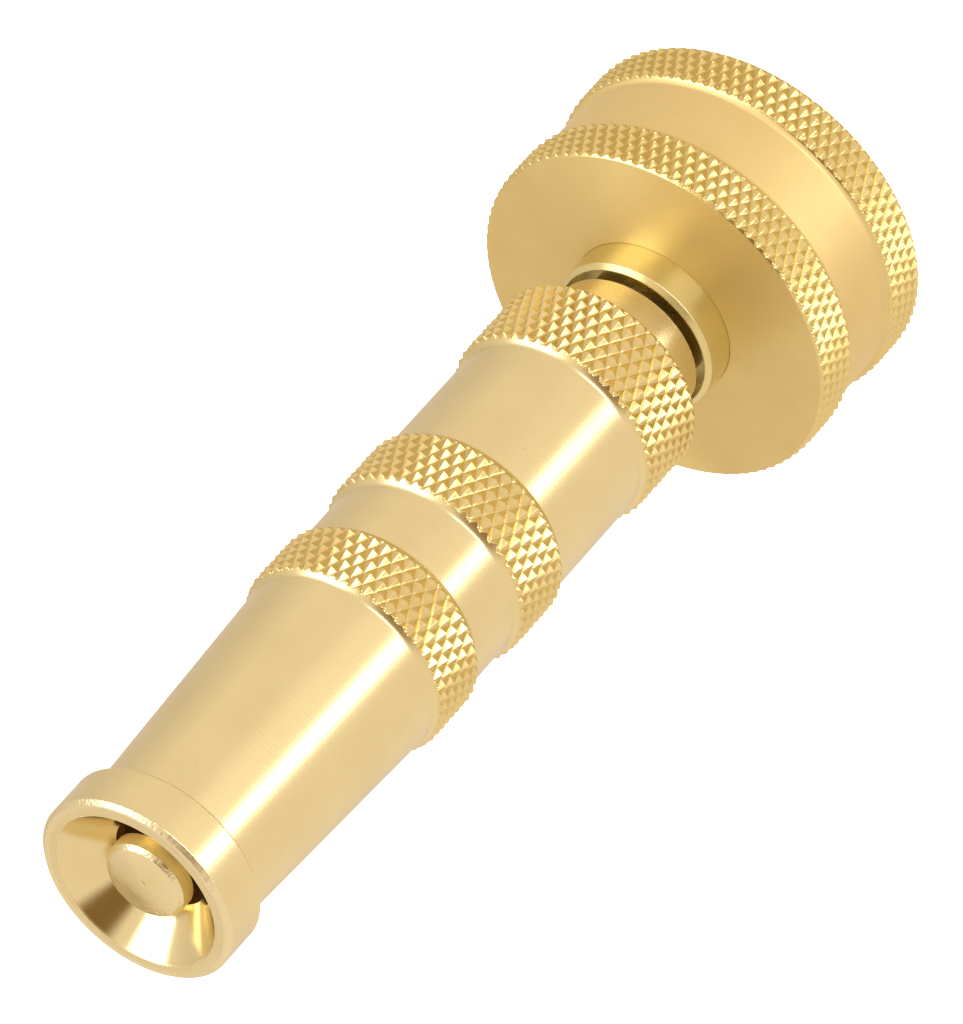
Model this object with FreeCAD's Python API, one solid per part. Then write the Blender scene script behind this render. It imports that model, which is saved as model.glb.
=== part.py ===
"""Brass twist nozzle for a garden hose, with a swivelling knurled coupling.

Millimetres. The nozzle stands on the rear face of its coupling: the origin is the
centre of that face and +Z runs along the common axis of every piece, to the nose.
Each piece is turned about that axis and written to its own STEP file.
"""
import FreeCAD
import Part
import math
import os

# Swivel coupling: the knurled nut that screws onto the hose.
coupling_length = 16.0
coupling_waist_r = 16.6
coupling_knurl_height = 0.7
coupling_rear_band = 4.5
coupling_front_band = 4.7
coupling_edge = 0.45
hose_thread_r = 13.62        # major radius of the 3/4-11.5 hose thread
hose_thread_depth = 8.4
hose_thread_lead_in = 0.8
seat_recess_r = 12.85        # pocket that holds the washer and the stem's flange
front_hole_edge = 0.12       # bevel round the hole that the tail's journal runs in

# Swivel tail: flange, journal and the cup that the barrel's neck enters.
flange_r = 12.1
flange_thickness = 1.65
hub_height = 3.3             # the cup stands this far in front of the coupling
hub_wall = 0.5
hub_rim_edge = 0.25
cup_floor = 0.95             # left under the neck when the barrel is shut
socket_r = 5.0               # tapped socket that holds the stem
socket_end = 1.2             # wall left behind the socket
inlet_r = 4.0
inlet_edge = 1.2

# Hose washer.
washer_thickness = 3.0
washer_hole_r = 8.0
washer_edge = 0.3
washer_fit = 0.3             # round the washer's rim
washer_gap = 0.1             # on each face of the washer

# Water way through the nose, from which the bores behind it follow.
orifice_r = 4.43
orifice_land = 1.2
mouth_r = 7.81
mouth_depth = 3.9
seat_width = 0.92            # the shut-off cone runs out from the orifice to the chamber
thread_height = 0.8          # the twist thread stands this far outside the chamber
neck_wall = 0.85

# Barrel.
barrel_length = 74.1
barrel_r = 9.26
barrel_taper = 1.15          # the front stretch narrows by this much at the radius
barrel_knurl_height = 0.74
barrel_bands = ((4.1, 7.65), (25.05, 6.4), (38.0, 5.9))   # start behind the neck's end, length
barrel_band_edge = 0.45
neck_edge = 0.2
neck_to_hub = 1.25           # open gap between the hub's rim and the barrel's neck
collar_r = 9.27
collar_length = 4.65
collar_front_edge = 0.4
collar_rear_edge = 0.15

# Stem.
stem_bore_r = 2.8
spigot_fit = 0.02            # round the stem's spigot in its socket
spigot_end_gap = 0.2
thread_engagement = 13.45    # thread held by the barrel as it stands
thread_relief_r = 4.6
shank_r = 4.3
port_r = 1.5
port_count = 4
port_distance = 7.0          # from the rear seal's land to the cross ports
bore_overrun = 2.5           # the blind bore runs past the ports
waist_r = 2.9
waist_flare = 0.8
head_gap = 0.48              # between the head and the orifice, at the radius
head_length = 1.5
head_bevel = 0.4
head_face_inset = 0.28
head_recess = 1.37           # the head's face lies this far inside the mouth

# Seals.
rear_cord_r = 0.7
front_cord_r = 0.6
front_ring_inset = 0.4       # the front ring lies this far inside the chamber's wall
seal_land_r_gap = 0.1
seal_land = 1.2
front_lip = 0.68
front_lip_gap = 0.2
groove_spare = 0.1           # each side of a sealing ring in its groove

# Fits and travel.
running = 0.05               # running clearance of thread, journal and sealing rings
hub_clearance = 0.2          # round the neck where it enters the hub
seat_clearance = 0.08        # left between ring and cone when shut
shut_travel = 3.0            # the barrel moves back this far to shut the water off
open_travel = 4.5            # and forward this far to its widest jet
stop_margin = 1.0

# Radii that follow from the water way.
chamber_r = orifice_r + seat_width
thread_r = chamber_r + thread_height
thread_bore_r = thread_r + running
neck_r = thread_bore_r + neck_wall
hub_bore_r = neck_r + hub_clearance
hub_r = hub_bore_r + hub_wall
rear_ring_r = chamber_r - running - rear_cord_r
front_ring_r = chamber_r - front_ring_inset - front_cord_r
head_r = orifice_r - head_gap

# Stations along the axis.
washer_z = hose_thread_depth + washer_gap
flange_z = washer_z + washer_thickness + washer_gap
shoulder_z = flange_z + flange_thickness + running
hub_rim_z = coupling_length + hub_height
neck_z = hub_rim_z + neck_to_hub
nose_z = neck_z + barrel_length
collar_z = nose_z - collar_length
cup_floor_z = neck_z - shut_travel - cup_floor
socket_z = flange_z + socket_end
thread_end_z = neck_z + thread_engagement
chamber_z = thread_end_z + shut_travel + stop_margin
rear_groove_z = chamber_z + open_travel + stop_margin
rear_groove_end_z = rear_groove_z + 2 * (rear_cord_r + groove_spare)
rear_land_z = rear_groove_z - seal_land
rear_land_end_z = rear_groove_end_z + seal_land
port_z = rear_land_end_z + port_distance
orifice_z = nose_z - mouth_depth
orifice_end_z = orifice_z - orifice_land
head_face_z = nose_z - head_recess
head_z = head_face_z - head_length


def turned(outline):
    """Solid of revolution about Z from (radius, height) corners in order."""
    corners = [FreeCAD.Vector(r, 0, z) for r, z in outline]
    wire = Part.makePolygon(corners + corners[:1])
    return Part.Face(wire).revolve(FreeCAD.Vector(0, 0, 0), FreeCAD.Vector(0, 0, 1), 360)


def band(start, length, inner_r, height, edge):
    """Outline corners of one raised band with bevelled edges, rear to front."""
    rise = min(edge, height)
    return [
        (inner_r, start),
        (inner_r + height - rise, start),
        (inner_r + height, start + edge),
        (inner_r + height, start + length - edge),
        (inner_r + height - rise, start + length),
        (inner_r, start + length),
    ]


def cord_ring(centre_r, cord_r, height):
    """Sealing ring of round section, its cord centred at the given height."""
    return Part.makeTorus(centre_r, cord_r, FreeCAD.Vector(0, 0, height))


def make_coupling():
    """Nut with two knurled bands, the hose thread behind and the tail's hole in front."""
    front_start = coupling_length - coupling_front_band
    hole_r = hub_r + running
    outline = [(hose_thread_r + hose_thread_lead_in, 0)]
    outline += band(0, coupling_rear_band, coupling_waist_r, coupling_knurl_height, coupling_edge)[1:]
    outline += band(front_start, coupling_front_band, coupling_waist_r, coupling_knurl_height,
                    coupling_edge)[:-1]
    outline += [
        (hole_r + front_hole_edge, coupling_length),
        (hole_r, coupling_length - front_hole_edge),
        (hole_r, shoulder_z),
        (seat_recess_r, shoulder_z),
        (seat_recess_r, hose_thread_depth),
        (hose_thread_r, hose_thread_depth),
        (hose_thread_r, hose_thread_lead_in),
    ]
    return turned(outline)


def make_hose_washer():
    """Flat rubber washer in the coupling's pocket."""
    rim_r = seat_recess_r - washer_fit
    top_z = washer_z + washer_thickness
    return turned([
        (washer_hole_r, washer_z),
        (rim_r - washer_edge, washer_z),
        (rim_r, washer_z + washer_edge),
        (rim_r, top_z - washer_edge),
        (rim_r - washer_edge, top_z),
        (washer_hole_r, top_z),
    ])


def make_swivel_tail():
    """Flange behind, journal through the coupling, and the cup in front with the stem's socket."""
    flange_end_z = flange_z + flange_thickness
    return turned([
        (inlet_r + inlet_edge, flange_z),
        (flange_r, flange_z),
        (flange_r, flange_end_z),
        (hub_r, flange_end_z),
        (hub_r, hub_rim_z - hub_rim_edge),
        (hub_r - hub_rim_edge, hub_rim_z),
        (hub_bore_r, hub_rim_z),
        (hub_bore_r, cup_floor_z),
        (socket_r, cup_floor_z),
        (socket_r, socket_z),
        (inlet_r, socket_z),
        (inlet_r, flange_z + inlet_edge / 2),
    ])


def front_ring_height():
    """Height of the front ring's cord, from the shut-off cone when the barrel is shut."""
    cone_sum = orifice_r + orifice_end_z - shut_travel
    return cone_sum - front_ring_r - math.sqrt(2) * (front_cord_r + seat_clearance)


def make_stem():
    """Spigot, thread, sealing lands, waist and head, with the water's way inside."""
    spigot_z = socket_z + spigot_end_gap
    spigot_r = socket_r - spigot_fit
    groove_r = rear_ring_r - rear_cord_r - running
    tip_groove_r = front_ring_r - front_cord_r - running
    tip_groove_z = front_ring_height() - front_cord_r - groove_spare
    tip_groove_end_z = front_ring_height() + front_cord_r + groove_spare
    tip_lip_end_z = tip_groove_end_z + front_lip
    tip_land_r = front_ring_r + front_cord_r - 2 * seal_land_r_gap
    stem = turned([
        (0, spigot_z),
        (spigot_r, spigot_z),
        (spigot_r, cup_floor_z),
        (thread_r, cup_floor_z),
        (thread_r, thread_end_z),
        (thread_relief_r, thread_end_z),
        (thread_relief_r, rear_land_z),
        (chamber_r - seal_land_r_gap, rear_land_z),
        (chamber_r - seal_land_r_gap, rear_groove_z),
        (groove_r, rear_groove_z),
        (groove_r, rear_groove_end_z),
        (chamber_r - seal_land_r_gap, rear_groove_end_z),
        (chamber_r - seal_land_r_gap, rear_land_end_z),
        (shank_r, rear_land_end_z),
        (shank_r, tip_groove_z - seal_land),
        (tip_land_r, tip_groove_z - seal_land),
        (tip_land_r, tip_groove_z),
        (tip_groove_r, tip_groove_z),
        (tip_groove_r, tip_groove_end_z),
        (orifice_r - front_lip_gap, tip_groove_end_z),
        (orifice_r - front_lip_gap, tip_lip_end_z),
        (waist_r, tip_lip_end_z),
        (waist_r, head_z - waist_flare),
        (head_r, head_z),
        (head_r, head_face_z - head_bevel),
        (head_r - head_face_inset, head_face_z),
        (0, head_face_z),
    ])
    bore_length = port_z + bore_overrun - spigot_z
    stem = stem.cut(Part.makeCylinder(stem_bore_r, bore_length, FreeCAD.Vector(0, 0, spigot_z)))
    for turn in range(port_count):
        angle = 2 * math.pi * turn / port_count
        outward = FreeCAD.Vector(math.cos(angle), math.sin(angle), 0)
        port = Part.makeCylinder(port_r, 2 * shank_r, FreeCAD.Vector(0, 0, port_z), outward)
        stem = stem.cut(port)
    return stem


def make_barrel():
    """Twist barrel: neck, three knurled bands, tapered front and the nose collar."""
    outline = [(neck_r - neck_edge, neck_z), (neck_r, neck_z + neck_edge)]
    start, length = barrel_bands[0]
    first = band(neck_z + start, length, barrel_r, barrel_knurl_height, barrel_band_edge)
    outline += [(neck_r, neck_z + start)] + first[1:]
    for start, length in barrel_bands[1:]:
        outline += band(neck_z + start, length, barrel_r, barrel_knurl_height, barrel_band_edge)
    outline += [
        (barrel_r - barrel_taper, collar_z),
        (collar_r - collar_rear_edge, collar_z),
        (collar_r, collar_z + collar_rear_edge),
        (collar_r, nose_z - collar_front_edge),
        (collar_r - collar_front_edge, nose_z),
        (mouth_r, nose_z),
        (orifice_r, orifice_z),
        (orifice_r, orifice_end_z),
        (chamber_r, orifice_end_z - seat_width),
        (chamber_r, chamber_z),
        (thread_bore_r, chamber_z),
        (thread_bore_r, neck_z),
    ]
    return turned(outline)


def save(name, shape):
    """Check that the piece is one closed solid and write its STEP file."""
    solids = shape.Solids
    if len(solids) != 1 or not solids[0].isValid() or not solids[0].isClosed():
        raise ValueError(name + " is not one closed solid")
    solids[0].exportStep("parts/" + name + ".step")


def main():
    """Make every piece in its place at rest and write one STEP file for each."""
    os.makedirs("parts", exist_ok=True)
    save("coupling", make_coupling())
    save("hose_washer", make_hose_washer())
    save("swivel_tail", make_swivel_tail())
    save("stem", make_stem())
    save("barrel", make_barrel())
    rear_centre_z = (rear_groove_z + rear_groove_end_z) / 2
    save("rear_o_ring", cord_ring(rear_ring_r, rear_cord_r, rear_centre_z))
    save("shutoff_o_ring", cord_ring(front_ring_r, front_cord_r, front_ring_height()))


main()
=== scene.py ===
"""Looks of a brass twist nozzle for a garden hose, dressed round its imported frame.

The nozzle stands on the rear face of its hose coupling and its axis is Z. Sizes in the
classes are millimetres, with heights counted from the rear end of the CAD node that the
piece stands for, unless a comment says otherwise. Meshes are written in metres, in the
frame's own place.
"""
import logging
import math
from dataclasses import dataclass, field, replace
from enum import Enum
from typing import Any, Dict, List, Optional, Sequence, Tuple, Union

import bmesh
import bpy
import numpy as np
from mathutils import Matrix, Vector


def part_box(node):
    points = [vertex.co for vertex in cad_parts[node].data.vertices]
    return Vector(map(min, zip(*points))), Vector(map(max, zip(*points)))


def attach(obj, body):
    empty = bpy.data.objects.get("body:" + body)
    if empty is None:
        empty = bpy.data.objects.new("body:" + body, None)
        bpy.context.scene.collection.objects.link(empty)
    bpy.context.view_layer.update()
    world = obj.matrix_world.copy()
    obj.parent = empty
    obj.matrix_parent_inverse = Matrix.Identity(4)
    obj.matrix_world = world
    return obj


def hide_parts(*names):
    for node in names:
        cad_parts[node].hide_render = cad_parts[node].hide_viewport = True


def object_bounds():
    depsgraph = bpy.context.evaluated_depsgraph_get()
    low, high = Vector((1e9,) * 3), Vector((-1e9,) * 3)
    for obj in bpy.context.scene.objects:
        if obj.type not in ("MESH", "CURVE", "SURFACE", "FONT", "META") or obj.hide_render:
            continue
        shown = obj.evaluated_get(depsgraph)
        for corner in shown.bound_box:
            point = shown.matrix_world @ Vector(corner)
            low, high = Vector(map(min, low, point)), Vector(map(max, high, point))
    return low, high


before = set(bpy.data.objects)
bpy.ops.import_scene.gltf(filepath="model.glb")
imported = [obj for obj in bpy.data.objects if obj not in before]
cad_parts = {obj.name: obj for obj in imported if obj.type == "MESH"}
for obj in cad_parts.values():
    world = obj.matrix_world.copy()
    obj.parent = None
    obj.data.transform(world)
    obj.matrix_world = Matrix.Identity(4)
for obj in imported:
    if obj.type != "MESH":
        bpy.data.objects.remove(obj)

LOG = logging.getLogger("nozzle")
MM = 0.001
CAD_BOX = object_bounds()

# Wear goes from 0 in a hollow to 1 on a rubbed edge. Low wear browns the metal:
# tarnish in real hollows, and painted shade where a piece sets it low, as on the stem's shank.
WEAR_BROWN = 0.45           # the metal browns below this
WEAR_PLAIN = 0.5
WEAR_PALE = 0.6             # the metal pales above this
WEAR_NICKED = (0.76, 0.88)  # nicks begin at the first and are full at the second
WEAR_EDGE = 1.0

# Rows of a turned wall, in millimetres or as shares.
EASING = 0.07        # how far back from a corner its round starts
EASING_SHARE = 0.24  # and at most this share of the span
GUARD_SHARE = 0.6    # the close row beside a round, as a share of the round
END_ROW = 0.06       # the close row beside a wall's end
END_SHARE = 0.25     # and at most this share of the span
FOOT_RUN = 1.7       # length of the hollow curve at a band's foot, as a share of its drop
FOOT_ROWS = 7
FOOT_GUARD = 0.1     # the close row beyond that curve
NEAR = 0.04          # rows this near a bevel's ends belong to it

Colour = Tuple[float, float, float, float]
Material = bpy.types.Material
Outline = Sequence[Tuple[float, float]]
Piece = bpy.types.Object
Three = Tuple[float, float, float]
Numbers = Union[float, np.ndarray]


class Body(str, Enum):
    """Bodies of the frame that pieces ride on."""

    COUPLING = "coupling"
    STEM = "stem"
    SEAL_RING = "seal_ring"
    BARREL = "barrel"


class Slot(str, Enum):
    """Material slots of the record."""

    COUPLING_BRASS = "coupling_brass"
    BARREL_BRASS = "barrel_brass"
    STEM_BRASS = "stem_brass"
    WASHER_RUBBER = "washer_rubber"
    SEAL_RUBBER = "seal_rubber"


class Travel(Enum):
    """Three along the axis in which a wall's rows are listed; the metal is on the left."""

    UP = 1
    DOWN = -1


def srgb(code: str) -> Colour:
    """Turn an sRGB hex colour into linear red, green, blue and a full alpha.

    Args:
        code: six hex digits after a hash sign.

    Returns:
        Four numbers from 0 to 1.
    """
    parts = [int(code[i:i + 2], 16) / 255 for i in (1, 3, 5)]
    linear = [p / 12.92 if p <= 0.04045 else ((p + 0.055) / 1.055) ** 2.4 for p in parts]
    return linear[0], linear[1], linear[2], 1.0


def add_node(tree: bpy.types.NodeTree, kind: str, inputs: Optional[Dict[Any, Any]] = None,
             **settings: Any) -> bpy.types.Node:
    """Add one node with its settings, its constant inputs and its links.

    Args:
        tree: the node tree that takes it.
        kind: the node's type name, after "ShaderNode".
        inputs: for each input, by name or number, a constant or the socket that feeds it.
        **settings: properties of the node itself.

    Returns:
        The new node.
    """
    node = tree.nodes.new("ShaderNode" + kind)
    for name, value in settings.items():
        setattr(node, name, value)
    for name, value in (inputs or {}).items():
        if isinstance(value, bpy.types.NodeSocket):
            tree.links.new(value, node.inputs[name])
        else:
            node.inputs[name].default_value = value
    return node


# --- Finishes ---


@dataclass(frozen=True)
class TurnedBrass:
    """Free-cutting brass, turned on a lathe and left satin.

    The tool leaves fine rings round the axis, so highlights stretch along the piece, and
    the metal keeps a faint mottle, small pits, paler rubbed edges and browner hollows. The
    browning is tarnish in real hollows, and painted shade where a piece sets a low wear to
    stand for shade.
    """

    name: str
    metal: str = "#E9D9A6"
    mottle: str = "#DECD97"
    hollow: str = "#A98B4C"
    rubbed: str = "#F6EBC8"
    roughness: float = 0.27
    anisotropy: float = 0.55
    metallic: float = 1.0        # less where the metal is dulled to a partly diffuse brown, as painted shade in the bore
    ring_spacing: float = 0.16   # real feed is 0.08; drawn twice as coarse to show
    ring_depth: float = 0.0018
    ring_drift: float = 0.12     # the rings wander by this much, as a hand-held abrasive does
    drift_size: float = 2.857
    grain_size: float = 0.35     # polishing grain; real is under 0.1, drawn coarser to show
    grain_depth: float = 0.0009
    mottle_size: float = 6.25
    mottle_share: float = 0.45
    pit_size: float = 0.4167     # spacing; each pit is about 0.15 across
    pit_share: float = 0.6
    hollow_share: float = 0.4
    rubbed_share: float = 0.8
    nick_size: float = 0.35      # chatter and nicks along worn edges
    nick_depth: float = 0.06

    def material(self) -> Material:
        """Build the finish as one node material.

        Returns:
            The new material.
        """
        made = bpy.data.materials.new(self.name)
        made.use_nodes = True
        tree = made.node_tree
        shader = tree.nodes["Principled BSDF"]
        place = add_node(tree, "TexCoord").outputs["Object"]
        at = add_node(tree, "VectorMath", {0: place, "Scale": 1000.0},
                      operation="SCALE").outputs[0]
        split = add_node(tree, "SeparateXYZ", {0: at})
        across = add_node(tree, "CombineXYZ", {"X": split.outputs["X"], "Y": split.outputs["Y"]})
        radius = add_node(tree, "VectorMath", {0: across.outputs[0]},
                          operation="LENGTH").outputs["Value"]
        path = add_node(tree, "Math", {0: radius, 1: split.outputs["Z"]},
                        operation="ADD").outputs[0]
        drift = add_node(tree, "TexNoise",
                         {"Vector": at, "Scale": 1 / self.drift_size, "Detail": 1.0})
        path = add_node(tree, "Math",
                        {0: drift.outputs["Fac"], 1: self.ring_drift, 2: path},
                        operation="MULTIPLY_ADD").outputs[0]
        rings = add_node(tree, "TexNoise",
                         {"W": path, "Scale": 1 / self.ring_spacing, "Detail": 3.0,
                          "Roughness": 0.65}, noise_dimensions="1D").outputs["Fac"]
        mottle, grain, pits = (
            add_node(tree, "TexNoise",
                     {"Vector": at, "Scale": 1 / size, "Detail": detail,
                      "Roughness": rough}).outputs["Fac"]
            for size, detail, rough in ((self.mottle_size, 4.0, 0.6), (self.grain_size, 3.0, 0.7),
                                        (self.pit_size, 4.0, 0.7)))
        wear = add_node(tree, "Attribute", attribute_name="wear").outputs["Fac"]
        pitted, tarnish_and_shade, rub, blend, edge = (
            add_node(tree, "MapRange",
                     {"Value": value, "From Min": low, "From Max": high, "To Min": 0.0,
                      "To Max": most}).outputs["Result"]
            for value, low, high, most in (
                (pits, 0.68, 0.74, self.pit_share), (wear, WEAR_BROWN, 0.0, self.hollow_share),
                (wear, WEAR_PALE, WEAR_EDGE, self.rubbed_share),
                (mottle, 0.35, 0.7, self.mottle_share), (wear, *WEAR_NICKED, 1.0)))
        rub = add_node(tree, "Math", {0: rub, 1: grain}, operation="MULTIPLY").outputs[0]
        colour = srgb(self.metal)
        for share, over in ((blend, self.mottle), (rub, self.rubbed), (pitted, self.hollow),
                            (tarnish_and_shade, self.hollow)):
            colour = add_node(tree, "Mix",
                              {"Factor": share, "A": colour, "B": srgb(over)},
                              data_type="RGBA").outputs["Result"]
        tree.links.new(colour, shader.inputs["Base Color"])
        # Rings, mottle and browned hollows (tarnish, and painted shade on the stem's shank) each
        # make the surface a little duller.
        dull = self.roughness - 0.08
        for value, more in ((rings, 0.10), (mottle, 0.06), (tarnish_and_shade, 0.15)):
            dull = add_node(tree, "Math", {0: value, 1: more, 2: dull},
                            operation="MULTIPLY_ADD").outputs[0]
        tree.links.new(dull, shader.inputs["Roughness"])
        nicks = add_node(tree, "TexNoise",
                         {"Vector": at, "Scale": 1 / self.nick_size, "Detail": 2.0,
                          "Roughness": 0.6}).outputs["Fac"]
        nicks = add_node(tree, "Math", {0: nicks, 1: edge}, operation="MULTIPLY").outputs[0]
        bump = add_node(tree, "Bump", {"Height": rings, "Distance": self.ring_depth * MM})
        for height, depth in ((grain, self.grain_depth), (nicks, self.nick_depth)):
            bump = add_node(tree, "Bump",
                            {"Height": height, "Distance": depth * MM, "Normal": bump.outputs[0]})
        tree.links.new(bump.outputs[0], shader.inputs["Normal"])
        turn = add_node(tree, "Tangent", direction_type="RADIAL", axis="Z")
        tree.links.new(turn.outputs[0], shader.inputs["Tangent"])
        shader.inputs["Metallic"].default_value = self.metallic
        shader.inputs["Anisotropic"].default_value = self.anisotropy
        shader.inputs["Anisotropic Rotation"].default_value = 0.25
        return made


@dataclass(frozen=True)
class MouldedRubber:
    """Synthetic rubber, compression moulded, with a dull bloom and fine specks.

    The eye sees a near-black matt surface that greys where talc and dust cling.
    """

    name: str
    base: str = "#1B1A19"
    bloom: str = "#4A4845"
    roughness: float = 0.62
    bloom_size: float = 2.0
    bloom_share: float = 0.7
    grain_size: float = 0.25
    grain_depth: float = 0.03

    def material(self) -> Material:
        """Build the finish as one node material.

        Returns:
            The new material.
        """
        made = bpy.data.materials.new(self.name)
        made.use_nodes = True
        tree = made.node_tree
        shader = tree.nodes["Principled BSDF"]
        place = add_node(tree, "TexCoord").outputs["Object"]
        at = add_node(tree, "VectorMath", {0: place, "Scale": 1000.0},
                      operation="SCALE").outputs[0]
        cloud, grain = (
            add_node(tree, "TexNoise", {"Vector": at, "Scale": 1 / size, "Detail": detail,
                                        "Roughness": rough}).outputs["Fac"]
            for size, detail, rough in ((self.bloom_size, 5.0, 0.65), (self.grain_size, 3.0, 0.5)))
        share = add_node(tree, "MapRange",
                         {"Value": cloud, "From Min": 0.4, "From Max": 0.8, "To Min": 0.0,
                          "To Max": self.bloom_share}).outputs["Result"]
        colour = add_node(tree, "Mix",
                          {"Factor": share, "A": srgb(self.base), "B": srgb(self.bloom)},
                          data_type="RGBA").outputs["Result"]
        tree.links.new(colour, shader.inputs["Base Color"])
        dull = add_node(tree, "Math", {0: grain, 1: 0.2, 2: self.roughness - 0.1},
                        operation="MULTIPLY_ADD").outputs[0]
        tree.links.new(dull, shader.inputs["Roughness"])
        bump = add_node(tree, "Bump",
                        {"Height": grain, "Strength": 0.6, "Distance": self.grain_depth * MM})
        tree.links.new(bump.outputs[0], shader.inputs["Normal"])
        return made


# --- Turned meshes ---


@dataclass
class Row:
    """One ring of points round the axis, in millimetres.

    Step is the row's place in a knurl's pattern, where it has one.
    """

    radius: Numbers
    height: Numbers
    wear: Numbers = WEAR_PLAIN
    step: Optional[int] = None


def eased(outline: Outline, easing: float = EASING, arc: int = 3) -> List[Row]:
    """Turn an outline into rows, with each corner eased to a small round.

    Args:
        outline: (radius, height) corners, in order, with the metal on the left.
        easing: how far back from a corner its round starts.
        arc: spans in each round.

    Returns:
        The rows, with close rows beside each corner and at both ends that keep the
        shading of the plain stretches flat.
    """
    points = [np.array(p, float) for p in outline]
    rows = []
    count = len(points)
    for i, here in enumerate(points):
        if i in (0, count - 1):
            other = points[1] if i == 0 else points[-2]
            step = (other - here) * min(END_SHARE, END_ROW / np.linalg.norm(other - here))
            pair = [here, here + step]
            rows += [Row(*p) for p in (pair if i == 0 else pair[::-1])]
            continue
        before, after = points[i - 1] - here, points[i + 1] - here
        lengths = np.linalg.norm(before), np.linalg.norm(after)
        back = min(easing, EASING_SHARE * lengths[0], EASING_SHARE * lengths[1])
        a, b = here + before / lengths[0] * back, here + after / lengths[1] * back
        turn = before[1] * after[0] - before[0] * after[1]
        wear = WEAR_EDGE if turn > 0 else WEAR_PLAIN
        guard = GUARD_SHARE * back
        first, last = a + before / lengths[0] * guard, b + after / lengths[1] * guard
        rows.append(Row(*first))
        for k in range(arc + 1):
            t = k / arc
            p = (1 - t) ** 2 * a + 2 * t * (1 - t) * here + t ** 2 * b
            rows.append(Row(*p, wear))
        rows.append(Row(*last))
    return rows


def rub(rows: Sequence[Row], wear: float, radius: float, height: float = -math.inf) -> None:
    """Set the wear of the rows beyond a radius and above a height.

    Args:
        rows: rows of plain rings.
        wear: their new wear.
        radius: only rows larger than this.
        height: only rows higher than this.
    """
    for row in rows:
        if row.radius > radius and row.height > height:
            row.wear = wear


@dataclass(frozen=True)
class Knurl:
    """Diamond knurl rolled round a band: two families of slanting grooves.

    The second family may be shallower, as when one wheel presses harder.
    """

    teeth: int
    lead: float
    depth: float
    second_depth: float
    valley: float = 0.035   # rounding at a groove's foot, as a share of a tooth
    crest: float = 0.02     # width of the rounding along a crest
    crest_share: float = 0.35   # and how deep it goes, as a share of that
    tip_wear: float = 0.75
    bevel_rows: Tuple[float, ...] = (0.0, 0.12, 0.3, 0.5, 0.7, 0.87)   # shares of a bevel
    steps: int = 10

    @property
    def columns(self) -> int:
        """Points round the band."""
        return self.teeth * self.steps

    def groove(self, phase: np.ndarray, depth: float) -> np.ndarray:
        """Depth cut by one family of grooves.

        Args:
            phase: teeth counted across the grooves; a groove's foot is at each whole number.
            depth: how deep the foot is.

        Returns:
            Depth below the tips at each point.
        """
        away = np.abs(phase - np.round(phase))
        away = np.sqrt(away ** 2 + self.valley ** 2) - self.valley
        return depth * np.clip(1 - 2 * away, 0, 1)

    def rows(self, start: float, length: float, top: float, edge: float) -> List[Row]:
        """Rows of one band, from the foot of its rear bevel to the foot of its front one.

        Args:
            start: height of the band's rear face.
            length: the band's length.
            top: radius at the tips.
            edge: size of the bevel at each end.

        Returns:
            The rows, rear to front.
        """
        end = start + length
        pitch = self.lead / self.steps
        whole = int((length - 2 * edge) / pitch)
        plan = [(start + edge * s, None) for s in self.bevel_rows]
        plan += [(start + edge + k * pitch, k) for k in range(whole + 1)]
        plan += [(end - edge * s, None) for s in reversed(self.bevel_rows)]
        around = np.arange(self.columns) / self.steps
        made = []
        for height, step in plan:
            rise = (height - start - edge) / self.lead
            first = self.groove(around + rise, self.depth)
            second = self.groove(around - rise, self.second_depth)
            cut, other = np.maximum(first, second), np.minimum(first, second)
            cut = cut + self.crest * np.exp(-(cut - other) / self.crest) * self.crest_share
            bevel = top - max(0.0, edge - (height - start), edge - (end - height))
            wear = self.tip_wear * (1 - np.clip(cut / self.depth, 0, 1))
            wear = np.where(bevel < top - cut, WEAR_PALE, wear)
            made.append(Row(np.minimum(top - cut, bevel), height, wear, step))
        return made


@dataclass(frozen=True)
class Thread:
    """Right-hand screw thread of trapezoid form on the wall of a bore or shaft."""

    pitch: float
    depth: float            # towards the axis from the wall
    tip: float              # half the width of the deepest flat, as a share of the pitch
    flank: float            # width of a flank, as a share of the pitch
    soft: float = 0.35      # how far a flank is rounded into the flats
    fade: float = 0.5       # run-out at each end, in pitches
    steps: int = 14

    def wall(self, start: float, end: float, radius: float,
             columns: int) -> Tuple[List[Row], int]:
        """Rows that follow the helix along a round wall.

        Args:
            start: height of the first row.
            end: height of the last row; below start for a wall listed downwards.
            radius: the wall's radius.
            columns: points round the wall.

        Returns:
            The rows, and how many rows the seam moves by in one turn.
        """
        way = Travel.UP if end > start else Travel.DOWN
        span = abs(end - start) / self.pitch
        count = int(math.ceil((span + 1) * self.steps)) + 1
        low, high = min(start, end), max(start, end)
        around = np.arange(columns) / columns
        rows = []
        for i in range(count):
            base = start - self.pitch if way is Travel.UP else start
            height = base + way.value * self.pitch * i / self.steps + self.pitch * around
            phase = height / self.pitch - around
            away = np.abs(phase - np.round(phase))
            cut = np.clip((self.tip + self.flank - away) / self.flank, 0, 1)
            cut = cut * cut * (3 - 2 * cut) * self.soft + cut * (1 - self.soft)
            height = np.clip(height, low, high)
            room = np.minimum(height - low, high - height) / (self.fade * self.pitch)
            cut = cut * np.clip(room, 0, 1)
            rows.append(Row(radius - self.depth * cut, height))
        return rows, way.value * self.steps


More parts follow.
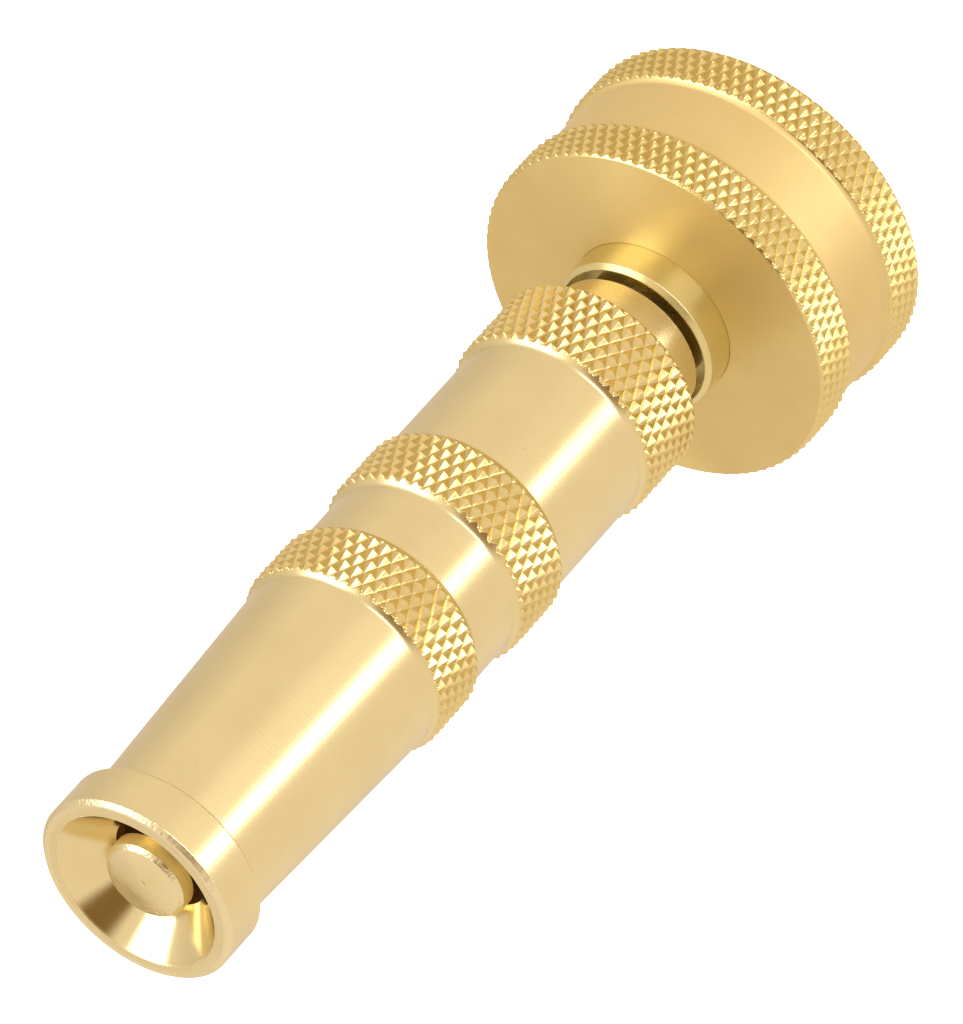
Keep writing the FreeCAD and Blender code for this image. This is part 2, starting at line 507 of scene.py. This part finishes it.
def foot_rows(radius: float, start: float, plain: float, way: Travel) -> List[Row]:
    """Rows of the hollow curve that leads a band's bevel down to the plain wall.

    Args:
        radius: the bevel's radius at its foot.
        start: height of the bevel's foot.
        plain: the plain wall's radius.
        way: UP for a curve in front of a band, DOWN for one behind it.

    Returns:
        The rows, rear to front.
    """
    drop = radius - plain
    ends = np.array([(radius, 0.0), (plain, drop), (plain, FOOT_RUN * drop)])
    rows = []
    for t in np.linspace(0, 1, FOOT_ROWS):
        p = (1 - t) ** 2 * ends[0] + 2 * t * (1 - t) * ends[1] + t ** 2 * ends[2]
        rows.append(Row(p[0], start + way.value * p[1]))
    rows.append(Row(plain, start + way.value * (FOOT_RUN * drop + FOOT_GUARD)))
    return rows[::way.value]


class Turning:
    """Mesh of one turned piece while it is built, and the object it becomes."""

    def __init__(self, name: str, rear: float) -> None:
        """Start an empty piece.

        Args:
            name: the piece's name.
            rear: height of its rear end above the frame's origin, in millimetres.
        """
        self.name = name
        self.rear = rear
        self.points: List[np.ndarray] = []
        self.wear: List[np.ndarray] = []
        self.faces: List[np.ndarray] = []
        self.marks: List[Tuple[int, bool]] = []
        self.count = 0

    def add(self, rows: Sequence[Row], columns: int, seam: int = 0, mark: int = 0,
            crisp: bool = False) -> None:
        """Add a wall made of rows.

        Args:
            rows: the rows, with the metal on the left as they go.
            columns: points in each row.
            seam: rows by which a helical wall moves in one turn.
            mark: which of the piece's finishes it has.
            crisp: whether its facets keep their sharp edges.
        """
        angle = 2 * math.pi * np.arange(columns) / columns
        for row in rows:
            radius, height, wear = (np.broadcast_to(np.asarray(v, float), (columns,))
                                    for v in (row.radius, row.height, row.wear))
            self.points.append(np.stack([radius * np.cos(angle), radius * np.sin(angle),
                                         height + self.rear], 1))
            self.wear.append(wear)
        i, j = np.meshgrid(np.arange(len(rows) - 1), np.arange(columns), indexing="ij")
        far = (j + 1) % columns
        last = len(rows) - 1
        jump = np.where(j == columns - 1, seam, 0)
        a = self.count + i * columns + j
        b = self.count + np.clip(i + jump, 0, last) * columns + far
        c = self.count + np.clip(i + 1 + jump, 0, last) * columns + far
        d = self.count + (i + 1) * columns + j
        steps = [row.step for row in rows]
        for r in range(len(rows) - 1):
            quads = np.stack([a[r], b[r], c[r], d[r]], 1)
            if steps[r] is None or steps[r + 1] is None:
                self.faces.append(quads)
            else:
                self.split_diamonds(quads, steps[r])
        self.marks += [(mark, crisp)] * (len(self.faces) - len(self.marks))
        self.count += len(rows) * columns

    def split_diamonds(self, quads: np.ndarray, step: int, half: int = 5) -> None:
        """Cut a knurl's quads in two along its grooves, so that they stay straight.

        Args:
            quads: corner numbers of one row of quads.
            step: the row's place in the pattern.
            half: rows and columns in half a diamond.
        """
        parity = (np.arange(len(quads)) // half + step // half) % 2
        main, other = quads[parity == 0], quads[parity == 1]
        self.faces += [main[:, [0, 1, 2]], main[:, [0, 2, 3]]]
        self.faces += [other[:, [0, 1, 3]], other[:, [1, 2, 3]]]

    def finish(self, body: Body, slot: Slot, finishes: Sequence[Material],
               node: str) -> Piece:
        """Weld the walls into one mesh and put it on its body.

        Args:
            body: the body it rides on.
            slot: the record's slot of its finish; not used.
            finishes: its materials, in the order of the walls' marks.
            node: the CAD node it stands for.

        Returns:
            The new object.
        """
        points = np.concatenate(self.points)
        wear = np.concatenate(self.wear)
        _, first, back = np.unique(np.round(points, 4), axis=0, return_index=True,
                                   return_inverse=True)
        back = back.reshape(-1)
        faces, marks, soft = [], [], []
        for block, (mark, crisp) in zip(self.faces, self.marks):
            for face in back[block].tolist():
                kept = [v for k, v in enumerate(face) if v != face[k - 1]]
                if len(kept) > 2 and len(set(kept)) == len(kept):
                    faces.append(kept)
                    marks.append(mark)
                    soft.append(not crisp)
        mesh = bpy.data.meshes.new(self.name)
        mesh.from_pydata((points[first] * MM).tolist(), [], faces)
        mesh.polygons.foreach_set("material_index", marks)
        mesh.polygons.foreach_set("use_smooth", soft)
        mesh.validate()
        layer = mesh.attributes.new("wear", "FLOAT", "POINT")
        layer.data.foreach_set("value", wear[first].astype(np.float32))
        for finish in finishes:
            mesh.materials.append(finish)
        made = bpy.data.objects.new(self.name, mesh)
        bpy.context.scene.collection.objects.link(made)
        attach(made, body.value)
        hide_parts(node)
        LOG.info("%s: %d points, %d faces, on %s", self.name, len(first), len(faces), body.value)
        return made


def rear_of(node: str) -> float:
    """Height of a CAD node's rear end, in millimetres."""
    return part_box(node)[0].z / MM


# --- Sub-assemblies ---


@dataclass
class HoseCoupling:
    """Knurled swivel nut that screws onto the hose, and the washer inside it."""

    length: float = 16.0
    waist_r: float = 16.6
    top_r: float = 17.3
    rear_band: float = 4.5
    front_band: float = 4.7
    edge: float = 0.45
    thread_r: float = 13.62
    thread_end: float = 8.4
    lead_in: float = 0.8
    pocket_r: float = 12.85
    shoulder: float = 13.3
    hole_r: float = 7.8
    hole_edge: float = 0.03
    washer_r: float = 12.55
    washer_hole_r: float = 8.0
    washer_thickness: float = 3.0
    washer_edge: float = 0.35
    mould_line: float = 0.04
    knurl: Knurl = Knurl(teeth=91, lead=2.15, depth=0.42, second_depth=0.34)
    thread: Thread = Thread(pitch=25.4 / 11.5, depth=1.3, tip=0.07, flank=0.34)
    inner_columns: int = 182
    washer_columns: int = 128
    front_easing: float = 0.03
    # Faced and wiped with cloth: one broad soft sheen across the flat face.
    finish: TurnedBrass = TurnedBrass(
        "satin_turned_brass_coupling", metal="#E7D292", mottle="#DEC685", roughness=0.48,
        anisotropy=0.8)
    # The waist is duller and paler, and its highlight has no hard edge.
    waist_finish: TurnedBrass = TurnedBrass(
        "satin_turned_brass_waist", metal="#E5D095", mottle="#DCC488", roughness=0.55,
        anisotropy=0.2)
    # Rolled, not cut: each facet is burnished and glints, and the groove feet are browner.
    knurl_finish: TurnedBrass = TurnedBrass(
        "rolled_brass_knurl_coupling", metal="#E6D290", mottle="#DBC17A", hollow="#A07E3C",
        rubbed="#F1E0AE", roughness=0.25, anisotropy=0.0, ring_depth=0.0, grain_depth=0.0004,
        hollow_share=0.12)
    rubber: MouldedRubber = MouldedRubber("moulded_epdm_rubber_washer")

    def build(self) -> List[Piece]:
        """Make the nut and its washer."""
        return [self.nut(), self.washer()]

    def nut(self) -> Piece:
        """Make the nut, with both knurled bands and the hose thread.

        Returns:
            The nut.
        """
        piece = Turning("coupling_nut", rear_of("coupling"))
        foot = self.top_r - self.edge
        front = self.length - self.front_band
        columns = self.knurl.columns
        piece.add(eased([(self.thread_r + self.lead_in, 0), (foot, 0)]), columns)
        piece.add(self.knurl.rows(0, self.rear_band, self.top_r, self.edge), columns, mark=1,
                  crisp=True)
        piece.add(foot_rows(foot, self.rear_band, self.waist_r, Travel.UP)
                  + foot_rows(foot, front, self.waist_r, Travel.DOWN), columns, mark=2)
        piece.add(self.knurl.rows(front, self.front_band, self.top_r, self.edge), columns, mark=1,
                  crisp=True)
        piece.add(eased([(foot, self.length), (self.hole_r + self.hole_edge, self.length),
                         (self.hole_r, self.length - self.hole_edge),
                         (self.hole_r, self.shoulder)], self.front_easing), columns)
        inner = eased([(self.hole_r, self.shoulder), (self.pocket_r, self.shoulder),
                       (self.pocket_r, self.thread_end), (self.thread_r, self.thread_end)])
        piece.add(inner, self.inner_columns)
        wall, seam = self.thread.wall(self.thread_end, self.lead_in, self.thread_r,
                                      self.inner_columns)
        piece.add(wall, self.inner_columns, seam)
        piece.add(eased([(self.thread_r, self.lead_in), (self.thread_r + self.lead_in, 0)]),
                  self.inner_columns)
        finishes = [self.finish.material(), self.knurl_finish.material(),
                    self.waist_finish.material()]
        return piece.finish(Body.COUPLING, Slot.COUPLING_BRASS, finishes, "coupling")

    def washer(self) -> Piece:
        """Make the flat washer, with round edges and a mould line round its rim.

        Returns:
            The washer.
        """
        piece = Turning("hose_washer_flat", rear_of("hose_washer"))
        top, middle, line = self.washer_thickness, self.washer_thickness / 2, self.mould_line
        outline = [(self.washer_hole_r, 0), (self.washer_r, 0),
                   (self.washer_r, middle - line), (self.washer_r + line, middle),
                   (self.washer_r, middle + line), (self.washer_r, top),
                   (self.washer_hole_r, top), (self.washer_hole_r, 0)]
        piece.add(eased(outline, self.washer_edge, 5), self.washer_columns)
        return piece.finish(Body.COUPLING, Slot.WASHER_RUBBER, [self.rubber.material()],
                            "hose_washer")


@dataclass
class StemGroup:
    """Swivel tail, stem and the shut-off ring, which turn in the coupling together."""

    flange_r: float = 12.1
    flange: float = 1.65
    hub_r: float = 7.78
    hub_rim: float = 7.7
    rim_edge: float = 0.42
    cup_r: float = 7.25
    cup_floor: float = 5.0
    socket_r: float = 5.0
    socket_end: float = 1.2
    inlet_r: float = 4.0
    inlet_edge: float = 1.2
    tail_easing: float = 0.06
    # The stem. Its starts and ends are heights above the frame's origin.
    spigot_r: float = 4.98
    spigot_end: float = 16.6
    relief_r: float = 5.75      # plain shank that the barrel's thread passes over
    relief: float = 5.2
    relief_bevel: float = 0.3
    thread_r: float = 6.15
    thread_end: float = 34.0
    twist: Thread = Thread(pitch=1.5, depth=0.62, tip=0.06, flank=0.24)
    throat_r: float = 4.6
    groove_start: float = 43.5
    groove: float = 1.6
    groove_r: float = 3.85
    land: float = 1.2
    land_r: float = 5.25
    body_r: float = 4.3
    tip_start: float = 84.97    # rear wall of the shut-off ring's groove
    tip_groove: float = 1.4
    tip_groove_r: float = 3.7
    tip_land_r: float = 4.75
    tip_lip: float = 0.68
    tip_lip_r: float = 4.23
    pin_r: float = 2.9
    head_foot: float = 2.3      # the pin's end and the head's rear edge, behind the CAD face
    head_rear: float = 1.5
    head_r: float = 3.82
    head_taper: float = 0.02
    head_bevel: float = 0.4
    head_proud: float = 0.25    # the head stands this much further into the mouth
    # The tool's centre mark, a small pit with a raised lip: radius, height over the face, wear.
    mark: Tuple[Three, ...] = ((0.42, 0.0, WEAR_PLAIN), (0.34, 0.02, WEAR_PLAIN),
                             (0.26, -0.02, WEAR_PALE), (0.12, -0.10, 0.1), (0.0, -0.16, 0.0))
    bore_r: float = 2.8
    bore_end: float = 55.8
    port_height: float = 53.3
    port_r: float = 1.5
    port_sides: int = 32
    # Painted shade: set below WEAR_BROWN, so the plain shank seen in the gap between the tail's
    # hub and the barrel's neck is tinted browner to stand for the shade there.
    shank_shade_wear: float = 0.35
    head_wear: float = 0.9
    stem_easing: float = 0.05
    columns: int = 128
    tail_columns: int = 256
    # Polished with the lathe running: bright, with its highlights drawn out along the axis.
    tail_finish: TurnedBrass = TurnedBrass(
        "polished_turned_brass_tail", metal="#E9DB9B", mottle="#E0D08C", roughness=0.33,
        anisotropy=0.85)
    # As it left the tool: a soft sheen over fine rings; low wear browns its centre pit, and browns
    # its plain shank as painted shade of the gap.
    stem_finish: TurnedBrass = TurnedBrass("satin_turned_brass_stem", roughness=0.26)
    # Greased, so blacker and less dull than the washer.
    rubber: MouldedRubber = MouldedRubber("nitrile_rubber_shutoff_ring", roughness=0.45)

    def build(self) -> List[Piece]:
        """Make the tail, the stem and the shut-off ring."""
        return [self.tail(), self.stem(),
                cord_ring("shutoff_ring_nitrile", "shutoff_o_ring", Body.STEM, self.rubber)]

    def tail(self) -> Piece:
        """Make the flange, journal and cup.

        Returns:
            The swivel tail.
        """
        piece = Turning("swivel_tail_turned", rear_of("swivel_tail"))
        outline = [(self.inlet_r + self.inlet_edge, 0), (self.flange_r, 0),
                   (self.flange_r, self.flange), (self.hub_r, self.flange),
                   (self.hub_r, self.hub_rim - self.rim_edge),
                   (self.hub_r - self.rim_edge, self.hub_rim), (self.cup_r, self.hub_rim),
                   (self.cup_r, self.cup_floor), (self.socket_r, self.cup_floor),
                   (self.socket_r, self.socket_end), (self.inlet_r, self.socket_end),
                   (self.inlet_r, self.inlet_edge / 2), (self.inlet_r + self.inlet_edge, 0)]
        piece.add(eased(outline, self.tail_easing), self.tail_columns)
        return piece.finish(Body.STEM, Slot.STEM_BRASS, [self.tail_finish.material()],
                            "swivel_tail")

    def stem(self) -> Piece:
        """Make the stem, with its twist thread, sealing lands and head.

        Returns:
            The stem.
        """
        rear = rear_of("stem")
        piece = Turning("stem_turned", rear)
        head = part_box("stem")[1].z / MM - rear
        self.add_shank(piece, rear)
        piece.add(self.tip_rows(rear, head), self.columns)
        bore_end = self.bore_end - rear
        piece.add(eased([(0.0, bore_end), (self.bore_r, bore_end), (self.bore_r, 0)],
                        self.stem_easing), self.columns)
        made = piece.finish(Body.STEM, Slot.STEM_BRASS, [self.stem_finish.material()], "stem")
        for turn in (0, 90):
            self.drill(made, turn)
        return made

    def add_shank(self, piece: Turning, rear: float) -> None:
        """Add the spigot, the plain shank and the twist thread.

        Args:
            piece: the stem's mesh.
            rear: height of its rear end above the frame's origin.
        """
        neck = self.spigot_end - rear
        begin = neck + self.relief
        back = eased([(self.bore_r, 0), (self.spigot_r, 0), (self.spigot_r, neck),
                      (self.relief_r, neck), (self.relief_r, begin - self.relief_bevel),
                      (self.thread_r, begin)])
        # Painted shade: tint the plain shank browner, for the shade it sits in inside the gap.
        rub(back, self.shank_shade_wear, self.relief_r - NEAR)
        piece.add(back, self.columns)
        wall, seam = self.twist.wall(begin, self.thread_end - rear, self.thread_r, self.columns)
        piece.add(wall, self.columns, seam)

    def tip_rows(self, rear: float, head: float) -> List[Row]:
        """Rows from the end of the thread to the middle of the head's face.

        Args:
            rear: height of the stem's rear end above the frame's origin.
            head: height of the CAD head's face.

        Returns:
            The rows, rear to front.
        """
        face = head + self.head_proud
        thread_end, groove = self.thread_end - rear, self.groove_start - rear
        after, tip = groove + self.groove, self.tip_start - rear
        cone = tip + self.tip_groove
        end = cone + self.tip_lip
        side = self.head_r - self.head_taper
        rows = eased([
            (self.thread_r, thread_end), (self.throat_r, thread_end),
            (self.throat_r, groove - self.land), (self.land_r, groove - self.land),
            (self.land_r, groove), (self.groove_r, groove), (self.groove_r, after),
            (self.land_r, after), (self.land_r, after + self.land),
            (self.body_r, after + self.land), (self.body_r, tip - self.land),
            (self.tip_land_r, tip - self.land), (self.tip_land_r, tip), (self.tip_groove_r, tip),
            (self.tip_groove_r, cone), (self.tip_lip_r, cone), (self.tip_lip_r, end),
            (self.pin_r, end), (self.pin_r, head - self.head_foot),
            (self.head_r, head - self.head_rear),
            (side, face - self.head_bevel), (side - self.head_bevel, face)], self.stem_easing)
        rub(rows, self.head_wear, side - self.head_bevel - NEAR, face - self.head_bevel - NEAR)
        return rows + [Row(radius, face + up, wear) for radius, up, wear in self.mark]

    def drill(self, stem: Piece, turn: float) -> None:
        """Drill one cross hole through the stem, which lets the water out of its bore.

        Args:
            stem: the stem.
            turn: the hole's angle round the axis, in degrees.
        """
        shape = bmesh.new()
        place = (Matrix.Translation((0, 0, self.port_height * MM))
                 @ Matrix.Rotation(math.radians(turn), 4, "Z")
                 @ Matrix.Rotation(math.pi / 2, 4, "Y"))
        bmesh.ops.create_cone(shape, cap_ends=True, segments=self.port_sides,
                              radius1=self.port_r * MM, radius2=self.port_r * MM,
                              depth=4 * self.socket_r * MM, matrix=place)
        mesh = bpy.data.meshes.new("cross_drill")
        shape.to_mesh(mesh)
        shape.free()
        drill = bpy.data.objects.new("cross_drill", mesh)
        bpy.context.scene.collection.objects.link(drill)
        cut = stem.modifiers.new("cross_hole", "BOOLEAN")
        cut.object, cut.operation, cut.solver = drill, "DIFFERENCE", "EXACT"
        done = stem.evaluated_get(bpy.context.evaluated_depsgraph_get())
        bored = bpy.data.meshes.new_from_object(done)
        stem.modifiers.clear()
        old, stem.data = stem.data, bored
        bpy.data.meshes.remove(old)
        bpy.data.objects.remove(drill)
        bpy.data.meshes.remove(mesh)
        LOG.info("%s: %d faces after drilling", stem.name, len(bored.polygons))


RING_SIDES = 32     # points round a sealing ring's section
RING_COLUMNS = 128
FLASH = 0.012       # height of its mould's flash line, in millimetres


def cord_ring(name: str, node: str, body: Body, rubber: MouldedRubber) -> Piece:
    """Make a sealing ring of round section, with the fine flash line of its mould.

    Args:
        name: the piece's name.
        node: the CAD node it stands for.
        body: the body it rides on.
        rubber: its finish.

    Returns:
        The ring.
    """
    low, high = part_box(node)
    cord = (high.z - low.z) / MM / 2
    centre = high.x / MM - cord
    piece = Turning(name, low.z / MM)
    rows = []
    for k in range(RING_SIDES + 1):
        angle = 2 * math.pi * k / RING_SIDES
        flash = FLASH if k % (RING_SIDES // 2) == 0 else 0.0
        rows.append(Row(centre + (cord - FLASH + flash) * math.cos(angle),
                        cord + (cord - FLASH + flash) * math.sin(angle)))
    piece.add(rows, RING_COLUMNS)
    return piece.finish(body, Slot.SEAL_RUBBER, [rubber.material()], node)


@dataclass
class SealRing:
    """Rear sealing ring, greased as the shut-off ring is; it slides in the barrel's bore."""

    rubber: MouldedRubber = MouldedRubber("nitrile_rubber_rear_ring", roughness=0.45)

    def build(self) -> List[Piece]:
        """Make the ring."""
        return [cord_ring("rear_ring_nitrile", "rear_o_ring", Body.SEAL_RING, self.rubber)]


@dataclass
class TwistBarrel:
    """Barrel that is twisted by hand: neck, three knurled bands, taper and nose collar."""

    neck_r: float = 7.05
    neck_edge: float = 0.1
    neck_more: float = 0.45     # the lip stands this much further into the gap
    plain_r: float = 9.26
    top_r: float = 10.0
    bands: Tuple[Tuple[float, float], ...] = ((4.1, 7.65), (25.05, 6.4), (38.0, 5.9))
    edge: float = 0.45
    taper_r: float = 8.11
    collar_r: float = 9.27
    collar_length: float = 4.65
    front_edge: float = 0.4
    rear_edge: float = 0.22
    front_wear: float = 0.95
    mouth_r: float = 7.81
    mouth_lip: Tuple[float, float] = (0.13, 0.15)   # broken edge: inwards, and down
    mouth_depth: float = 3.9
    orifice_r: float = 4.43
    orifice_land: float = 1.2
    chamber_r: float = 5.35
    chamber_start: float = 17.45
    thread_r: float = 6.2
    knurl: Knurl = Knurl(teeth=50, lead=2.27, depth=0.42, second_depth=0.40)
    twist: Thread = Thread(pitch=1.5, depth=0.35, tip=0.05, flank=0.135)
    inner_columns: int = 125
    # Turned with a fine feed: highlights stretch along the barrel over faint rings.
    finish: TurnedBrass = TurnedBrass("satin_turned_brass_barrel")
    # A sharp tool leaves the cone nearly mirror-bright, with specks of pitting.
    mouth_finish: TurnedBrass = TurnedBrass(
        "bright_turned_brass_mouth", roughness=0.15, anisotropy=0.35, ring_depth=0.0012,
        grain_size=0.25, grain_depth=0.0016, pit_share=0.85)
    # Water has oxidised the bore: brown and dull, with coarse boring rings.
    # Painted shade: the bore is coloured a dull, partly diffuse brown to stand for the brass in
    # shadow inside the chamber, with coarse boring rings.
    bore_shade_finish: TurnedBrass = TurnedBrass(
        "bored_brass_chamber_painted_shade", metal="#B98A4A", mottle="#9C6E34", hollow="#6E4A20",
        roughness=0.5, anisotropy=0.2, metallic=0.4, ring_depth=0.004)
    # Rolled as the coupling's bands are.
    knurl_finish: TurnedBrass = replace(
        HoseCoupling.knurl_finish, name="rolled_brass_knurl_barrel", metal="#E8D496",
        mottle="#DCC481", rubbed="#F3E4B4", roughness=0.24)

    def build(self) -> List[Piece]:
        """Make the barrel.

        Returns:
            The one piece.
        """
        low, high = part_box("barrel")
        nose = (high.z - low.z) / MM
        piece = Turning("twist_barrel", low.z / MM)
        self.add_outside(piece, nose)
        self.add_inside(piece, nose)
        finishes = [self.finish.material(), self.mouth_finish.material(),
                    self.knurl_finish.material(), self.bore_shade_finish.material()]
        return [piece.finish(Body.BARREL, Slot.BARREL_BRASS, finishes, "barrel")]

    def add_outside(self, piece: Turning, nose: float) -> None:
        """Add the neck, the knurled bands, the taper and the nose collar.

        Args:
            piece: the barrel's mesh.
            nose: height of its front end.
        """
        foot = self.top_r - self.edge
        columns = self.knurl.columns
        end = self.bands[0][0]
        piece.add(eased([(self.neck_r - self.neck_edge, -self.neck_more),
                         (self.neck_r, self.neck_edge - self.neck_more),
                         (self.neck_r, end), (foot, end)]), columns)
        for start, length in self.bands:
            if start > end:
                piece.add(foot_rows(foot, end, self.plain_r, Travel.UP)
                          + foot_rows(foot, start, self.plain_r, Travel.DOWN), columns)
            piece.add(self.knurl.rows(start, length, self.top_r, self.edge), columns, mark=2,
                      crisp=True)
            end = start + length
        collar = nose - self.collar_length
        front = foot_rows(foot, end, self.plain_r, Travel.UP)
        front += eased([(front[-1].radius, front[-1].height),
                        (self.taper_r, collar), (self.collar_r - self.rear_edge, collar),
                        (self.collar_r, collar + self.rear_edge),
                        (self.collar_r, nose - self.front_edge),
                        (self.collar_r - self.front_edge, nose), (self.mouth_r, nose),
                        (self.mouth_r - self.mouth_lip[0], nose - self.mouth_lip[1])])
        rub(front, self.front_wear, (self.mouth_r + self.collar_r) / 2, nose - self.front_edge)
        piece.add(front, columns)

    def add_inside(self, piece: Turning, nose: float) -> None:
        """Add the mouth, the orifice, the shut-off cone, the chamber and the thread.

        Args:
            piece: the barrel's mesh.
            nose: height of its front end.
        """
        columns, inner = self.knurl.columns, self.inner_columns
        throat = nose - self.mouth_depth
        land_end = throat - self.orifice_land
        piece.add(eased([(self.mouth_r - self.mouth_lip[0], nose - self.mouth_lip[1]),
                         (self.orifice_r, throat)]), columns, mark=1)
        # The orifice land and the chamber take the bore's painted shade.
        piece.add(eased([(self.orifice_r, throat), (self.orifice_r, land_end)]), columns, mark=3)
        piece.add(eased([(self.orifice_r, land_end),
                         (self.chamber_r, land_end - self.chamber_r + self.orifice_r),
                         (self.chamber_r, self.chamber_start),
                         (self.thread_r, self.chamber_start)]), inner, mark=3)
        wall, seam = self.thread_wall()
        piece.add(wall, inner, seam)
        piece.add(eased([(self.thread_r, 0), (self.thread_r, -self.neck_more),
                         (self.neck_r - self.neck_edge, -self.neck_more)]), inner)

    def thread_wall(self) -> Tuple[List[Row], int]:
        """Rows of the thread in the bore, in step with the stem's thread."""
        shift = rear_of("barrel") - rear_of("stem")
        rows, seam = self.twist.wall(self.chamber_start + shift, shift, self.thread_r,
                                     self.inner_columns)
        for row in rows:
            row.height = row.height - shift
        return rows, seam


# --- Studio ---


@dataclass(frozen=True)
class Softbox:
    """Rectangular diffused lamp that faces the nozzle."""

    name: str
    towards: Three
    distance: float             # metres, as are its sides
    size: Tuple[float, float]
    radiance: float

    def place(self, centre: Vector) -> None:
        """Set the lamp up round a point.

        Args:
            centre: the point it faces, in metres.
        """
        lamp = bpy.data.lights.new(self.name, "AREA")
        lamp.shape = "RECTANGLE"
        lamp.size, lamp.size_y = self.size
        lamp.energy = self.radiance * math.pi * self.size[0] * self.size[1]
        holder = bpy.data.objects.new(self.name, lamp)
        bpy.context.scene.collection.objects.link(holder)
        way = Vector(self.towards).normalized()
        holder.location = centre + way * self.distance
        holder.rotation_euler = way.to_track_quat("Z", "Y").to_euler()


@dataclass
class Studio:
    """Pale floor, soft lamps, surroundings and the camera."""

    eye: Three = (-0.0003, -0.6151, 0.4885)
    right: Three = (-0.74342, -0.39206, -0.54185)
    up: Three = (0.66881, -0.43579, -0.60230)
    lens: float = 318.1
    sensor: float = 36.0
    tent: str = "#FFF0E2"
    behind: Three = (0.45, 0.8, -0.35)
    back_share: float = 0.75    # the tent behind the nozzle is this bright
    # Brown patches of the tent: direction, outer and inner angle in degrees, colour.
    brown_sides: Tuple[Tuple[Three, float, float, str], ...] = (
        ((-0.18, -0.68, 0.71), 27.0, 12.0, "#8A6C45"),
        ((0.0, 0.0, -1.0), 44.0, 26.0, "#DCC48C"))
    # Metres.
    floor_size: float = 6.0
    floor_gap: float = 0.0002
    boxes: List[Softbox] = field(default_factory=lambda: [
        Softbox("softbox_right", (-0.463, -0.770, -0.438), 0.7, (0.16, 0.32), 4.0),
        Softbox("softbox_front", (-0.087, -0.99, 0.04), 0.7, (0.5, 0.18), 5.5),
        Softbox("softbox_left", (0.78, -0.27, 0.57), 0.7, (0.5, 0.4), 3.2),
    ])

    def build(self) -> None:
        """Set up the whole studio round the nozzle."""
        centre = Vector((0, 0, (CAD_BOX[0][2] + CAD_BOX[1][2]) / 2))
        for box in self.boxes:
            box.place(centre)
        self.world()
        self.floor()
        self.camera()
        bpy.context.scene.view_settings.view_transform = "Standard"

    def world(self) -> None:
        """Light the surroundings: a pale tent, dimmer behind, with brown patches."""
        world = bpy.data.worlds.new("studio_surroundings")
        bpy.context.scene.world = world
        world.use_nodes = True
        tree = world.node_tree
        back = tree.nodes["Background"]
        way = add_node(tree, "TexCoord").outputs["Generated"]
        away = add_node(tree, "VectorMath", {0: way, 1: self.behind},
                        operation="DOT_PRODUCT").outputs["Value"]
        light = add_node(tree, "MapRange",
                         {"Value": away, "From Min": 0.2, "From Max": 1.0, "To Min": 1.0,
                          "To Max": self.back_share},
                         interpolation_type="SMOOTHSTEP").outputs["Result"]
        colour = srgb(self.tent)
        for towards, rim, heart, patch in self.brown_sides:
            ahead = add_node(tree, "VectorMath", {0: way, 1: towards},
                             operation="DOT_PRODUCT").outputs["Value"]
            share = add_node(tree, "MapRange",
                             {"Value": ahead, "From Min": math.cos(math.radians(rim)),
                              "From Max": math.cos(math.radians(heart))},
                             interpolation_type="SMOOTHSTEP").outputs["Result"]
            colour = add_node(tree, "Mix",
                              {"Factor": share, "A": colour, "B": srgb(patch)},
                              data_type="RGBA").outputs["Result"]
        tree.links.new(colour, back.inputs["Color"])
        tree.links.new(light, back.inputs["Strength"])

    def floor(self) -> None:
        """Lay the pale floor, an evenly lit sheet under the coupling."""
        half = self.floor_size / 2
        level = CAD_BOX[0][2] - self.floor_gap
        mesh = bpy.data.meshes.new("studio_floor")
        mesh.from_pydata([(-half, -half, level), (half, -half, level), (half, half, level),
                          (-half, half, level)], [], [(0, 1, 2, 3)])
        made = bpy.data.materials.new("lit_white_acrylic_sheet")
        made.use_nodes = True
        shader = made.node_tree.nodes["Principled BSDF"]
        shader.inputs["Base Color"].default_value = srgb("#F4F4F2")
        shader.inputs["Emission Strength"].default_value = 1.0
        mesh.materials.append(made)
        sheet = bpy.data.objects.new("studio_floor", mesh)
        bpy.context.scene.collection.objects.link(sheet)
        sheet.visible_glossy = False
        sheet.visible_diffuse = False
        sheet.visible_shadow = False

    def camera(self) -> None:
        """Set up the camera, with everything in focus."""
        lens = bpy.data.cameras.new("studio_camera")
        lens.lens = self.lens
        lens.sensor_width = self.sensor
        lens.clip_start = 0.01
        lens.clip_end = 20.0
        lens.dof.use_dof = False
        right = Vector(self.right).normalized()
        back = right.cross(Vector(self.up)).normalized()
        up = back.cross(right)
        place = Matrix((right, up, back)).transposed().to_4x4()
        place.translation = Vector(self.eye)
        holder = bpy.data.objects.new("studio_camera", lens)
        bpy.context.scene.collection.objects.link(holder)
        holder.matrix_world = place
        bpy.context.scene.camera = holder


def write_sizes() -> None:
    """Bring the view layer up to date."""
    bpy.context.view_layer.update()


def main() -> None:
    """Build every sub-assembly in order, then the studio, and report each piece."""
    logging.basicConfig(level=logging.INFO, format="%(name)s: %(message)s")
    for group in (HoseCoupling(), StemGroup(), SealRing(), TwistBarrel()):
        for piece in group.build():
            LOG.info("%s dressed with %s", piece.name, piece.data.materials[0].name)
    Studio().build()
    write_sizes()


if __name__ == "__main__":
    main()
